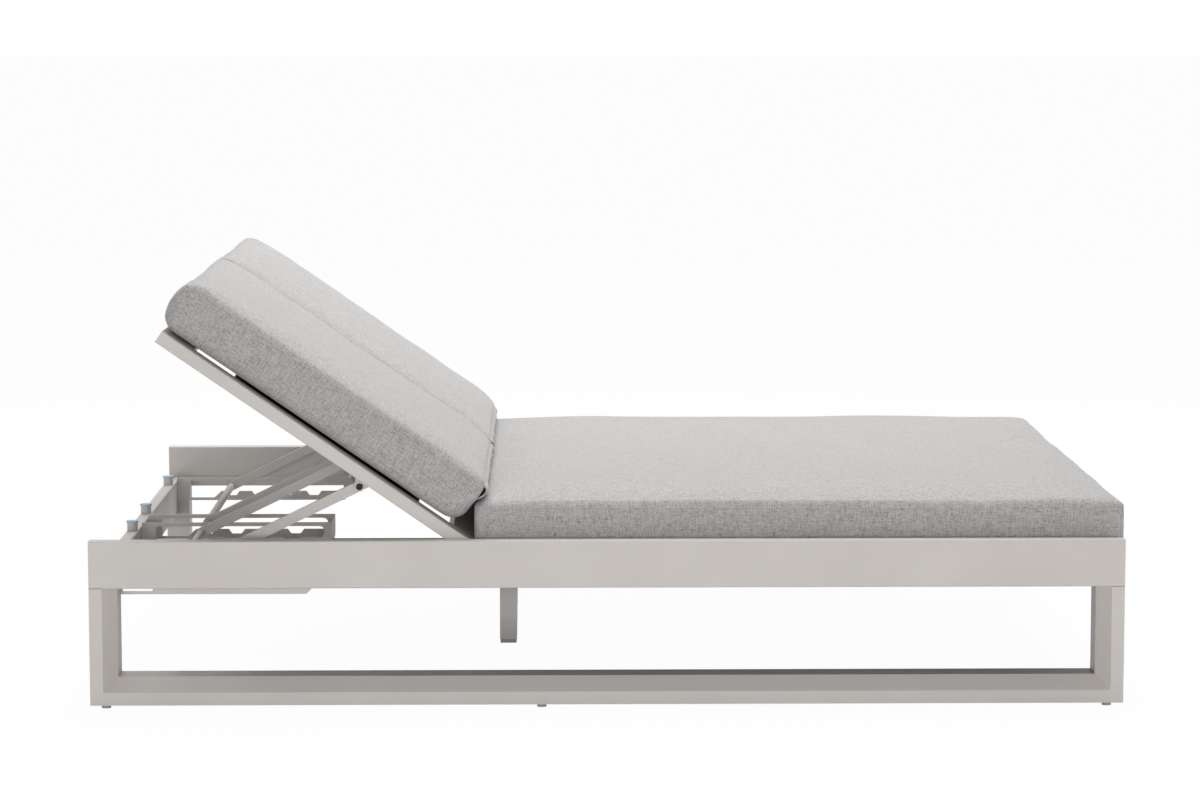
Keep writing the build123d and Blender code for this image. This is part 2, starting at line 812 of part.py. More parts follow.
back_cushion_outer = back_outer - back_cushion_side_gap
back_cushion_inner = back_cushion_middle_gap
back_cushion = cushion(
    on_back(
        back_cushion_foot,
        -(back_cushion_outer + back_cushion_inner) / 2,
        deck_rail_height / 2 + cushion_clearance,
    ),
    back_along,
    back_up,
    back_reach + back_cushion_past_rail - back_cushion_foot,
    back_cushion_outer - back_cushion_inner,
    back_cushion_thickness,
    cushion_end_round,
)
save_pair(back_cushion, "back_cushion")
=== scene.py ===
"""Dress the double chaise lounger: coated frame, dark slings, heathered cushions, studio and camera.

Every piece is in metres in the row's own frame: +X from head to foot, +Y to the left, +Z up.
"""

from __future__ import annotations

import json
import logging
import math
from dataclasses import dataclass, field
from enum import Enum
from typing import Any

import bpy
import numpy as np
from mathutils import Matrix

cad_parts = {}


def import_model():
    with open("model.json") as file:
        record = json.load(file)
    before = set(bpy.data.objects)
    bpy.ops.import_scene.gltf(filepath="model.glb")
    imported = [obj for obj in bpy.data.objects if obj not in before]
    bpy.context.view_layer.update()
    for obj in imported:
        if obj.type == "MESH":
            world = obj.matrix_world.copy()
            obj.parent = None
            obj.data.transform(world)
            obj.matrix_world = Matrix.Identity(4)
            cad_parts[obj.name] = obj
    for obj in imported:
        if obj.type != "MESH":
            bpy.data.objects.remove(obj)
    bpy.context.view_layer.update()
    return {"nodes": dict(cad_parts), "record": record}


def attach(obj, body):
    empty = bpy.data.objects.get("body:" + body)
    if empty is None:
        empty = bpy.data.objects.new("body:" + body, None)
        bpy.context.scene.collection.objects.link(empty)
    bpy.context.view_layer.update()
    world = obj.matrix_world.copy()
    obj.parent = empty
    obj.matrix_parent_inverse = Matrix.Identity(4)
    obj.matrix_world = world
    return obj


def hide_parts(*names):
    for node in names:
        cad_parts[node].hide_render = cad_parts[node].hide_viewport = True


LOG = logging.getLogger("lounger")

FloatArray = np.ndarray
MM = 0.001


class Slot(Enum):
    """The record's material slots."""

    FRAME = "frame_coating"
    FABRIC = "cushion_fabric"
    MESH = "sling_mesh"
    BUMPER = "bumper_rubber"
    GLIDE = "glide_plastic"
    BOLT = "black_steel"


class Side(Enum):
    """The two halves of the lounger, seen by someone lying on it; the value is the sign of Y."""

    RIGHT = -1
    LEFT = 1

    @property
    def word(self) -> str:
        """The side's name as the nodes spell it."""
        return self.name.lower()


def linear(code: str) -> tuple[float, float, float, float]:
    """Turn an sRGB hex colour into linear light.

    Each channel c is c / 12.92 up to 0.04045, and ((c + 0.055) / 1.055) ** 2.4 above it.

    Args:
        code: six hex digits, with or without a leading hash.

    Returns:
        The linear red, green and blue, and an alpha of 1.
    """
    digits = code.lstrip("#")
    channels = np.array([int(digits[i : i + 2], 16) for i in (0, 2, 4)]) / 255.0
    light = np.where(channels <= 0.04045, channels / 12.92, ((channels + 0.055) / 1.055) ** 2.4)
    return (*light.tolist(), 1.0)


def add_node(
    tree: bpy.types.NodeTree, kind: str, links: dict[Any, Any] | None = None, **settings: Any
) -> Any:
    """Add one shader node with its settings and links.

    Args:
        tree: the node tree that gets it.
        kind: the node's type name.
        links: input name or index to a value, or to the output socket that feeds it.
        settings: the node's own properties.

    Returns:
        The new node.
    """
    node = tree.nodes.new(kind)
    for name, value in settings.items():
        setattr(node, name, value)
    for name, value in (links or {}).items():
        if isinstance(value, bpy.types.NodeSocket):
            tree.links.new(value, node.inputs[name])
        else:
            node.inputs[name].default_value = value
    return node


def blank_material(name: str) -> tuple[bpy.types.Material, bpy.types.NodeTree]:
    """Make a material with an empty node tree.

    Args:
        name: the material's name.

    Returns:
        The material and its node tree.
    """
    material = bpy.data.materials.new(name)
    material.use_nodes = True
    material.node_tree.nodes.clear()
    return material, material.node_tree


@dataclass(frozen=True)
class PowderCoatedAluminium:
    """Polyester powder coat, satin, on extruded aluminium.

    The eye sees a soft sheen with a faint orange peel and slightly uneven tone.
    """

    name: str = "powder_coated_aluminium"
    colour: str = "#BDB8B4"
    worn: str = "#B3AEAA"
    roughness: float = 0.48
    roughness_swing: float = 0.06
    peel_mm: float = 1.6
    peel_depth_mm: float = 0.1
    peel_strength: float = 0.12
    tone_mm: float = 160.0

    def build(self) -> bpy.types.Material:
        """Build the coat's material.

        Returns:
            A material whose colour drifts between the two tones and whose bump is the orange peel.
        """
        material, tree = blank_material(self.name)
        place = add_node(tree, "ShaderNodeTexCoord").outputs["Object"]
        drift = add_node(
            tree, "ShaderNodeTexNoise", {"Vector": place, "Scale": 1 / (self.tone_mm * MM), "Detail": 4.0}
        )
        tone = add_node(
            tree,
            "ShaderNodeMix",
            {0: drift.outputs["Fac"], 6: linear(self.colour), 7: linear(self.worn)},
            data_type="RGBA",
        )
        peel = add_node(
            tree, "ShaderNodeTexNoise", {"Vector": place, "Scale": 1 / (self.peel_mm * MM), "Detail": 1.0}
        )
        bump = add_node(
            tree,
            "ShaderNodeBump",
            {
                "Height": peel.outputs["Fac"],
                "Strength": self.peel_strength,
                "Distance": self.peel_depth_mm * MM,
            },
        )
        gloss = add_node(
            tree,
            "ShaderNodeMapRange",
            {
                "Value": drift.outputs["Fac"],
                "To Min": self.roughness - self.roughness_swing,
                "To Max": self.roughness + self.roughness_swing,
            },
        )
        shader = add_node(
            tree,
            "ShaderNodeBsdfPrincipled",
            {
                "Base Color": tone.outputs[2],
                "Roughness": gloss.outputs["Result"],
                "Normal": bump.outputs["Normal"],
                "IOR": 1.5,
            },
        )
        add_node(tree, "ShaderNodeOutputMaterial", {"Surface": shader.outputs[0]})
        return material


@dataclass(frozen=True)
class HeatheredWeave:
    """Solution-dyed acrylic in a plain weave, spun from mixed light and mid grey yarns.

    The eye sees short pale and dark dashes along both thread directions, and a dull, slightly fuzzy surface.
    The real threads are about half a millimetre wide, too fine to show, so they are drawn coarser.
    """

    name: str = "heathered_weave"
    tilt_deg: float = 0.0
    dark: str = "#777575"
    middle: str = "#9E9C9B"
    pale: str = "#B6B4B3"
    middle_at: float = 0.45
    thread_mm: float = 1.5
    thread_rise_mm: float = 0.6
    thread_strength: float = 0.45
    slub_mm: float = 16.0
    speck_mm: float = 3.0
    darkest_sum: float = 1.12
    palest_sum: float = 1.88
    roughness: float = 0.92
    sheen: float = 0.25
    seeds: tuple[float, float, float] = (0.0, 3.7, 8.1)

    def streaks(
        self, tree: bpy.types.NodeTree, place: Any, stretch: tuple[float, float, float], seed: float
    ) -> Any:
        """Add noise drawn out along the threads of one direction.

        Args:
            tree: the material's node tree.
            place: the socket of the position in the cloth's own directions.
            stretch: the dash's size along each direction, in millimetres.
            seed: an offset that sets one direction's dashes apart from another's.

        Returns:
            The noise's output socket, from 0 to 1.
        """
        spot = add_node(
            tree,
            "ShaderNodeMapping",
            {"Vector": place, "Location": (seed,) * 3, "Scale": tuple(1 / (s * MM) for s in stretch)},
        )
        noise = add_node(
            tree,
            "ShaderNodeTexNoise",
            {"Vector": spot.outputs[0], "Scale": 1.0, "Detail": 2.0, "Roughness": 0.6},
        )
        return noise.outputs["Fac"]

    def build(self) -> bpy.types.Material:
        """Build the cloth's material.

        The noises of the two thread directions and a round speck are added and spread by a ramp over
        dark, middle and pale yarn. The sum of the two directions also raises the threads.

        Returns:
            The material, whose pattern is turned by tilt_deg about Y.
        """
        material, tree = blank_material(self.name)
        place = add_node(tree, "ShaderNodeTexCoord").outputs["Object"]
        turned = add_node(
            tree, "ShaderNodeMapping", {"Vector": place, "Rotation": (0.0, math.radians(self.tilt_deg), 0.0)}
        ).outputs[0]
        thin = self.thread_mm
        along = self.streaks(tree, turned, (self.slub_mm, thin, thin), self.seeds[0])
        over = self.streaks(tree, turned, (thin, self.slub_mm, self.slub_mm), self.seeds[1])
        speck = self.streaks(tree, turned, (self.speck_mm,) * 3, self.seeds[2])
        threads = add_node(tree, "ShaderNodeMath", {0: along, 1: over}, operation="ADD")
        heather = add_node(tree, "ShaderNodeMath", {0: threads.outputs[0], 1: speck}, operation="ADD")
        level = add_node(
            tree,
            "ShaderNodeMapRange",
            {"Value": heather.outputs[0], "From Min": self.darkest_sum, "From Max": self.palest_sum},
        )
        yarn = add_node(tree, "ShaderNodeValToRGB", {"Fac": level.outputs["Result"]})
        ramp = yarn.color_ramp
        ramp.elements[0].color = linear(self.dark)
        ramp.elements[1].color = linear(self.pale)
        ramp.elements.new(self.middle_at).color = linear(self.middle)
        bump = add_node(
            tree,
            "ShaderNodeBump",
            {
                "Height": threads.outputs[0],
                "Strength": self.thread_strength,
                "Distance": self.thread_rise_mm * MM,
            },
        )
        shader = add_node(
            tree,
            "ShaderNodeBsdfPrincipled",
            {
                "Base Color": yarn.outputs["Color"],
                "Roughness": self.roughness,
                "Sheen Weight": self.sheen,
                "Sheen Roughness": 0.5,
                "Normal": bump.outputs["Normal"],
            },
        )
        add_node(tree, "ShaderNodeOutputMaterial", {"Surface": shader.outputs[0]})
        return material


@dataclass(frozen=True)
class SlingMesh:
    """PVC-coated polyester mesh, woven open.

    The eye sees dark ribs with a slight shine. The ribs' charcoal is the mesh's own dark colour, and its
    near-black tone also serves as painted shade under the cushions. The real holes are finer than the render
    can show, so they are drawn as near-black cells, coarser than they are; their near black is painted shade
    seen through the open weave.
    """

    name: str = "sling_mesh"
    tilt_deg: float = 0.0
    # Ribs: the mesh's own dark colour, whose near-black tone also serves as painted shade under the
    # cushions.
    colour: str = "#2E2D2C"
    # Cells: painted shade seen through the open weave, not a colour of the mesh.
    hole_shade: str = "#0B0B0B"
    cell_mm: float = 3.0
    cells_per_wave_unit: float = 3.2
    rib_mm: float = 0.4
    roughness: float = 0.55

    def build(self) -> bpy.types.Material:
        """Build the mesh's material: bands across both directions mark the ribs and the cells, whose near
        black is painted shade.

        Returns:
            The material, whose pattern is turned by tilt_deg about Y.
        """
        material, tree = blank_material(self.name)
        place = add_node(tree, "ShaderNodeTexCoord").outputs["Object"]
        turned = add_node(
            tree, "ShaderNodeMapping", {"Vector": place, "Rotation": (0.0, math.radians(self.tilt_deg), 0.0)}
        ).outputs[0]
        bands = [
            add_node(
                tree,
                "ShaderNodeTexWave",
                {
                    "Vector": turned,
                    "Scale": 1 / (self.cell_mm * MM) / self.cells_per_wave_unit,
                    "Distortion": 0.4,
                },
                bands_direction=way,
            ).outputs["Fac"]
            for way in ("X", "Y")
        ]
        rib = add_node(tree, "ShaderNodeMath", {0: bands[0], 1: bands[1]}, operation="MAXIMUM")
        tone = add_node(tree, "ShaderNodeValToRGB", {"Fac": rib.outputs[0]})
        # The cells get the painted shade of the holes, and the ribs get the mesh's colour.
        tone.color_ramp.elements[0].color = linear(self.hole_shade)
        tone.color_ramp.elements[1].color = linear(self.colour)
        bump = add_node(
            tree,
            "ShaderNodeBump",
            {"Height": rib.outputs[0], "Strength": 0.5, "Distance": self.rib_mm * MM},
        )
        shader = add_node(
            tree,
            "ShaderNodeBsdfPrincipled",
            {
                "Base Color": tone.outputs["Color"],
                "Roughness": self.roughness,
                "Normal": bump.outputs["Normal"],
            },
        )
        add_node(tree, "ShaderNodeOutputMaterial", {"Surface": shader.outputs[0]})
        return material


@dataclass(frozen=True)
class MouldedPolymer:
    """Injection-moulded polymer with a fine spark-eroded grain.

    The eye sees an even colour with a dull, slightly mottled sheen. The real grain is a few tenths of a
    millimetre wide, too fine to show, so it is drawn coarser.
    """

    name: str
    colour: str
    shade: str
    roughness: float = 0.6
    grain_mm: float = 0.8
    grain_depth_mm: float = 0.1
    mottles_per_metre: float = 90.0

    def build(self) -> bpy.types.Material:
        """Build the polymer's material.

        Returns:
            A material with a mottle between its colour and its shade, and a fine grain as its bump.
        """
        material, tree = blank_material(self.name)
        place = add_node(tree, "ShaderNodeTexCoord").outputs["Object"]
        mottle = add_node(
            tree, "ShaderNodeTexNoise", {"Vector": place, "Scale": self.mottles_per_metre, "Detail": 3.0}
        )
        tone = add_node(tree, "ShaderNodeValToRGB", {"Fac": mottle.outputs["Fac"]})
        tone.color_ramp.elements[0].color = linear(self.shade)
        tone.color_ramp.elements[1].color = linear(self.colour)
        grain = add_node(tree, "ShaderNodeTexNoise", {"Vector": place, "Scale": 1 / (self.grain_mm * MM)})
        bump = add_node(
            tree,
            "ShaderNodeBump",
            {"Height": grain.outputs["Fac"], "Strength": 0.25, "Distance": self.grain_depth_mm * MM},
        )
        shader = add_node(
            tree,
            "ShaderNodeBsdfPrincipled",
            {
                "Base Color": tone.outputs["Color"],
                "Roughness": self.roughness,
                "Normal": bump.outputs["Normal"],
            },
        )
        add_node(tree, "ShaderNodeOutputMaterial", {"Surface": shader.outputs[0]})
        return material


@dataclass(frozen=True)
class BlackOxideSteel:
    """Turned steel, blackened in a hot oxide bath.

    The eye sees near black metal with a broken, oily sheen.
    """

    name: str = "black_oxide_steel"
    colour: str = "#1B1B1C"
    roughness: float = 0.38
    smoother: float = 0.1
    rougher: float = 0.15
    clouds_per_metre: float = 220.0

    def build(self) -> bpy.types.Material:
        """Build the steel's material.

        Returns:
            A metallic material whose sheen varies over a few millimetres.
        """
        material, tree = blank_material(self.name)
        place = add_node(tree, "ShaderNodeTexCoord").outputs["Object"]
        cloud = add_node(
            tree, "ShaderNodeTexNoise", {"Vector": place, "Scale": self.clouds_per_metre, "Detail": 3.0}
        )
        gloss = add_node(
            tree,
            "ShaderNodeMapRange",
            {
                "Value": cloud.outputs["Fac"],
                "To Min": self.roughness - self.smoother,
                "To Max": self.roughness + self.rougher,
            },
        )
        shader = add_node(
            tree,
            "ShaderNodeBsdfPrincipled",
            {"Base Color": linear(self.colour), "Metallic": 0.9, "Roughness": gloss.outputs["Result"]},
        )
        add_node(tree, "ShaderNodeOutputMaterial", {"Surface": shader.outputs[0]})
        return material


@dataclass
class Wardrobe:
    """Every finish of the lounger, built once."""

    back_angle_deg: float
    coat: bpy.types.Material = field(init=False)
    seat_cloth: bpy.types.Material = field(init=False)
    back_cloth: bpy.types.Material = field(init=False)
    seat_mesh: bpy.types.Material = field(init=False)
    back_mesh: bpy.types.Material = field(init=False)
    bumper: bpy.types.Material = field(init=False)
    glide: bpy.types.Material = field(init=False)
    bolt: bpy.types.Material = field(init=False)

    def __post_init__(self) -> None:
        """Build the materials."""
        tilt = -self.back_angle_deg
        self.coat = PowderCoatedAluminium().build()
        self.seat_cloth = HeatheredWeave("heathered_weave_seat").build()
        self.back_cloth = HeatheredWeave("heathered_weave_back", tilt_deg=tilt).build()
        self.seat_mesh = SlingMesh("sling_mesh_seat").build()
        self.back_mesh = SlingMesh("sling_mesh_back", tilt_deg=tilt).build()
        self.bumper = MouldedPolymer("bumper_rubber", "#A9BBCB", "#93A8BC", 0.7).build()
        self.glide = MouldedPolymer("glide_polyamide", "#A39F9A", "#918C87").build()
        self.bolt = BlackOxideSteel().build()

    def dress_nodes(self, record: dict[str, Any], nodes: dict[str, bpy.types.Object]) -> None:
        """Give each CAD node the finish of its slot.

        Args:
            record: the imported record, whose subparts name each node's slot.
            nodes: the CAD nodes by name.
        """
        finishes = {
            Slot.FRAME.value: self.coat,
            Slot.FABRIC.value: self.seat_cloth,
            Slot.MESH.value: self.seat_mesh,
            Slot.BUMPER.value: self.bumper,
            Slot.GLIDE.value: self.glide,
            Slot.BOLT.value: self.bolt,
        }
        for entry in record["subparts"]:
            obj = nodes[entry["node"]]
            obj.data.materials.clear()
            obj.data.materials.append(finishes[entry["material_slot"]])


def mesh_object(name: str, points: FloatArray, faces: list[list[int]] | FloatArray) -> bpy.types.Object:
    """Make an object at the origin from arrays of points and faces.

    Args:
        name: the object's name.
        points: one row of x, y and z per vertex.
        faces: vertex numbers of each face.

    Returns:
        The linked object, smooth shaded.
    """
    mesh = bpy.data.meshes.new(name)
    mesh.from_pydata(points.tolist(), [], faces if isinstance(faces, list) else faces.tolist())
    mesh.polygons.foreach_set("use_smooth", np.ones(len(mesh.polygons), bool))
    mesh.update()
    obj = bpy.data.objects.new(name, mesh)
    bpy.context.scene.collection.objects.link(obj)
    return obj


def read_points(mesh: bpy.types.Mesh) -> FloatArray:
    """Read a mesh's vertices into an array.

    Args:
        mesh: the mesh to read.

    Returns:
        One row of x, y and z per vertex.
    """
    flat = np.empty(len(mesh.vertices) * 3)
    mesh.vertices.foreach_get("co", flat)
    return flat.reshape(-1, 3)


def write_points(mesh: bpy.types.Mesh, points: FloatArray) -> None:
    """Write an array of points back into a mesh."""
    mesh.vertices.foreach_set("co", points.reshape(-1))
    mesh.update()


def apply_modifiers(obj: bpy.types.Object) -> None:
    """Replace an object's mesh by its evaluated one and take its modifiers off.

    Args:
        obj: the object whose modifiers become part of its mesh.
    """
    graph = bpy.context.evaluated_depsgraph_get()
    made = bpy.data.meshes.new_from_object(obj.evaluated_get(graph), depsgraph=graph)
    obj.modifiers.clear()
    obj.data = made


def ring_grid(rows: int, columns: int) -> FloatArray:
    """Number the quads of a tube around a closed path.

    Quad (i, j) joins points i, i + 1 around the section and j, j + 1 along the path, and the last of each
    is followed by the first.

    Args:
        rows: the points around the section.
        columns: the sections along the path.

    Returns:
        One row of four vertex numbers per quad.
    """
    i, j = np.meshgrid(np.arange(rows), np.arange(columns), indexing="ij")
    right, up = (j + 1) % columns, (i + 1) % rows
    quads = np.stack([j * rows + i, j * rows + up, right * rows + up, right * rows + i], axis=-1)
    return quads.reshape(-1, 4)


@dataclass(frozen=True)
class Bench:
    """A flat place to lay out a soft piece: an origin and the directions along, across and up."""

    origin: FloatArray
    along: FloatArray
    across: FloatArray
    up: FloatArray

    def place(self, local: FloatArray) -> FloatArray:
        """Turn local points into the row's frame: origin + a along + b across + c up."""
        return self.origin + local @ np.stack([self.along, self.across, self.up])

    def measure(self, points: FloatArray) -> FloatArray:
        """Turn points of the row's frame into local ones, the reverse of place."""
        return (points - self.origin) @ np.stack([self.along, self.across, self.up]).T


def sheet_grid(rows: int, columns: int) -> FloatArray:
    """Number the quads of an open grid, with columns points in each of its rows.

    Quad (i, j) joins rows i, i + 1 and columns j, j + 1, and runs from a row to the next one first.

    Args:
        rows: the points of the first direction.
        columns: the points of the second direction.

    Returns:
        One row of four vertex numbers per quad.
    """
    i, j = np.meshgrid(np.arange(rows - 1), np.arange(columns - 1), indexing="ij")
    near, far = i * columns + j, (i + 1) * columns + j
    return np.stack([near, far, far + 1, near + 1], axis=-1).reshape(-1, 4)


def level_bench(x: float, y: float, z: float) -> Bench:
    """Make a bench in line with the row's own axes."""
    return Bench(np.array([x, y, z]), np.array([1.0, 0, 0]), np.array([0, 1.0, 0]), np.array([0, 0, 1.0]))


@dataclass(frozen=True)
class Backrest:
    """Where a backrest's parts lie: its hinge and its angle at rest."""

    hinge_x: float = -0.240
    hinge_z: float = 0.2945
    angle_deg: float = 34.6
    rail_half: float = 0.0125

    def bench(self, reach: float, y: float, rise: float) -> Bench:
        """Lay a bench on the backrest.

        Args:
            reach: the distance from the hinge towards the head.
            y: the place across the lounger.
            rise: the height above the middle of the rails.

        Returns:
            A bench whose first direction runs up the backrest.
        """
        lean = math.radians(self.angle_deg)
        along = np.array([-math.cos(lean), 0.0, math.sin(lean)])
        up = np.array([math.sin(lean), 0.0, math.cos(lean)])
        hinge = np.array([self.hinge_x, y, self.hinge_z])
        return Bench(hinge + along * reach + up * rise, along, np.array([0.0, 1.0, 0.0]), up)


@dataclass(frozen=True)
class CushionShape:
    """How a cushion departs from a plain box, in metres.

    It names the radii of its top and low edges, of the same edges at the foot end and of the top edge beside
    its partner, the height of its crown, the rise of its underside at the rim, how far its sides draw in and
    how far its head end bulges.
    """

    edge_top: float
    edge_low: float
    foot_top: float
    foot_low: float
    crown: float
    belly: float
    draw: float
    edge_inner: float = 0.0
    head_bulge: float = 0.0
    blend: float = 4.0


@dataclass
class BoxCushion:
    """A foam cushion in a sewn cover with soft edges, crowned on top and drawn in at its sides.

    Lengths are in metres. The local origin is the middle of the underside.
    """

    name: str
    bench: Bench
    length: float
    width: float
    thickness: float
    shape: CushionShape
    body: str
    nodes: tuple[str, ...]
    cloth: bpy.types.Material
    seed: int
    inner_side: int = 0
    voxel: float = 0.010
    swell: float = 0.006
    pressure: float = 4.0
    frames: int = 20
    stiffness: float = 12.0
    bending: float = 2.0
    fill: float = 0.85
    grid_lines: int = 36
    rest_share: float = 0.3
    wave_count: int = 9
    wave_depth: float = 0.00045
    wave_span: tuple[float, float] = (0.12, 0.5)
    pleat_depth: float = 0.0004
    pleat_reach: float = 0.03
    pleat_turns: float = 95.0
    pleat_drift: tuple[float, float] = (2.0, 13.0)
    seam_sections: int = 900
    seam_sides: int = 8
    seam_smoothings: int = 3

    def shell(self) -> tuple[FloatArray, list[list[int]]]:
        """Work out the closed shell of the cushion before it is inflated.

        A cube's six gridded faces are scaled to the cushion. Each point p is pulled to the core box c that
        lies one edge radius r inside, and set at c + r (p - c) / |p - c|. Then the top rises by
        crown (1 - a^6)(1 - b^6), the underside rises to its rim by belly max(a^6, b^2), and the sides and
        ends draw in by draw (1 - a^2) b^8 and draw (1 - b^2) a^8, with a and b running from -1 to 1 along
        and across. The head end bulges by head_bulge a^12 (1 - c^2), with c running from -1 to 1 up the
        side. The radius has its own value at the top and low edges of the end with a = -1 and at the top
        edge beside the partner cushion, and changes to it as blend |a| or |b| goes from blend - 1 to blend.

        Returns:
            The local points and the faces.
        """
        steps = self.grid_lines
        line = np.sin(np.linspace(-np.pi / 2, np.pi / 2, steps))
        g, h = np.meshgrid(line, line, indexing="ij")
        one = np.ones_like(g)
        sheets = [(g, h, one), (h, g, -one), (one, g, h), (-one, h, g), (h, one, g), (g, -one, h)]
        cube = np.concatenate([np.stack(s, axis=-1).reshape(-1, 3) for s in sheets])
        quad = sheet_grid(steps, steps)
        quads = np.concatenate([quad + n * steps * steps for n in range(len(sheets))])
        _, first, inverse = np.unique(np.round(cube, 6), axis=0, return_index=True, return_inverse=True)
        cube = cube[first]
        quads = inverse.reshape(-1)[quads]
        half = np.array([self.length, self.width, self.thickness]) / 2
        shape, on_top = self.shape, cube[:, 2] > 0
        radius = np.where(on_top, shape.edge_top, shape.edge_low)
        at_foot = np.clip(-cube[:, 0] * shape.blend - (shape.blend - 1), 0, 1)
        radius += at_foot * (np.where(on_top, shape.foot_top, shape.foot_low) - radius)
        at_inner = np.clip(cube[:, 1] * self.inner_side * shape.blend - (shape.blend - 1), 0, 1) * on_top
        radius = (radius + at_inner * (shape.edge_inner - radius))[:, None]
        box = cube * half
        core = np.clip(box, -(half - radius), half - radius)
        away = box - core
        size = np.linalg.norm(away, axis=1, keepdims=True)
        points = np.where(size > 1e-9, core + radius * away / np.maximum(size, 1e-9), box)
        a, b, c = (points / half).T
        rise = np.clip((c + 1) / 2, 0, 1)
        points[:, 2] += shape.crown * (1 - a**6) * (1 - b**6) * rise
        points[:, 2] += shape.belly * np.maximum(np.abs(a) ** 6, b**2) * (1 - rise)
        points[:, 1] -= np.sign(b) * shape.draw * (1 - a**2) * np.abs(b) ** 8
        points[:, 0] -= np.sign(a) * shape.draw * (1 - b**2) * np.abs(a) ** 8
        points[:, 0] += shape.head_bulge * np.clip(a, 0, 1) ** 12 * (1 - np.clip(c, -1, 1) ** 2)
        points[:, 2] += self.thickness / 2
        return points, quads.tolist()

    def inflate(self, obj: bpy.types.Object) -> None:
        """Remesh the shell evenly, blow it up as cloth, cap each point's move and subdivide it once.

        A move m becomes m min(1, swell / |m|), and its downward part fades out towards the underside,
        over the lowest rest_share of the thickness.

        Args:
            obj: the shell's object, already in place.
        """
        even = obj.modifiers.new("even", "REMESH")
        even.mode, even.voxel_size = "VOXEL", self.voxel
        apply_modifiers(obj)
        before = read_points(obj.data)
        cloth = obj.modifiers.new("cloth", "CLOTH")
        cloth.settings.quality = 5
        cloth.settings.tension_stiffness = cloth.settings.compression_stiffness = self.stiffness
        cloth.settings.bending_stiffness = self.bending
        cloth.settings.use_pressure = True
        cloth.settings.uniform_pressure_force = self.pressure
        cloth.settings.effector_weights.gravity = 0.0
        cloth.point_cache.frame_start, cloth.point_cache.frame_end = 1, self.frames
        for step in range(1, self.frames + 1):
            bpy.context.scene.frame_set(step)
        apply_modifiers(obj)
        bpy.context.scene.frame_set(1)
        after = read_points(obj.data)
        move = after - before
        size = np.linalg.norm(move, axis=1, keepdims=True)
        move *= np.minimum(1.0, self.swell / np.maximum(size, 1e-9))
        local = self.bench.measure(before)
        low = np.clip(1 - local[:, 2:3] / (self.rest_share * self.thickness), 0, 1)
        move -= np.minimum(move @ self.bench.up[:, None], 0) * low * self.bench.up
        write_points(obj.data, before + move)
        self.crease(obj)
        smooth = obj.modifiers.new("smooth", "SUBSURF")
        smooth.levels = smooth.render_levels = 1
        apply_modifiers(obj)
        obj.data.polygons.foreach_set("use_smooth", np.ones(len(obj.data.polygons), bool))

    def crease(self, obj: bpy.types.Object) -> None:
        """Lay shallow waves in the cover, deeper near the ends, where the cloth gathers at the seams.

        Each wave is wave_depth sin(2 pi (x cos t + y sin t) / span + phase). The pleats at the ends are
        pleat_depth sin(pleat_turns y + d sin(e y)), with d and e from pleat_drift, faded by a bell curve
        over pleat_reach. The sum fades with the height above the underside, to nothing there.

        Args:
            obj: the remeshed cushion.
        """
        chance = np.random.default_rng(self.seed)
        points = read_points(obj.data)
        local = self.bench.measure(points)
        wave = np.zeros(len(local))
        for _ in range(self.wave_count):
            turn = chance.uniform(0, np.pi)
            span = chance.uniform(*self.wave_span)
            phase = chance.uniform(0, 6.28)
            run = local[:, 0] * math.cos(turn) + local[:, 1] * math.sin(turn)
            wave += np.sin(2 * np.pi * run / span + phase) * self.wave_depth
        near_end = np.exp(-((np.abs(local[:, 0]) - self.length / 2) ** 2) / (2 * self.pleat_reach**2))
        drift = self.pleat_drift[0] * np.sin(local[:, 1] * self.pleat_drift[1])
        wave += near_end * np.sin(local[:, 1] * self.pleat_turns + drift) * self.pleat_depth
        up_share = np.clip(local[:, 2] / self.thickness, 0, 1)
        write_points(obj.data, points + (wave * up_share)[:, None] * self.bench.up)

    def build(self) -> bpy.types.Object:
        """Make the cushion, tie it to its body and hide its nodes.

        Returns:
            The finished cushion.
        """
        points, faces = self.shell()
        obj = mesh_object(self.name, self.bench.place(points), faces)
        self.inflate(obj)
        obj.data.materials.clear()
        obj.data.materials.append(self.cloth)
        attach(obj, self.body)
        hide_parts(*self.nodes)
        LOG.info("%s: %d faces", self.name, len(obj.data.polygons))
        return obj

    def pull_to_cover(self, cushion: bpy.types.Object, points: FloatArray) -> FloatArray:
        """Move each point to the nearest point of the finished cover.

        Args:
            cushion: the finished cushion.
            points: the points to move.

        Returns:
            The points on the cover.
        """
        guide = mesh_object(f"{self.name}_guide", points, [])
        wrap = guide.modifiers.new("wrap", "SHRINKWRAP")
        wrap.target, wrap.wrap_method = cushion, "NEAREST_SURFACEPOINT"
        apply_modifiers(guide)
        found = read_points(guide.data)
        bpy.data.objects.remove(guide)
        return found

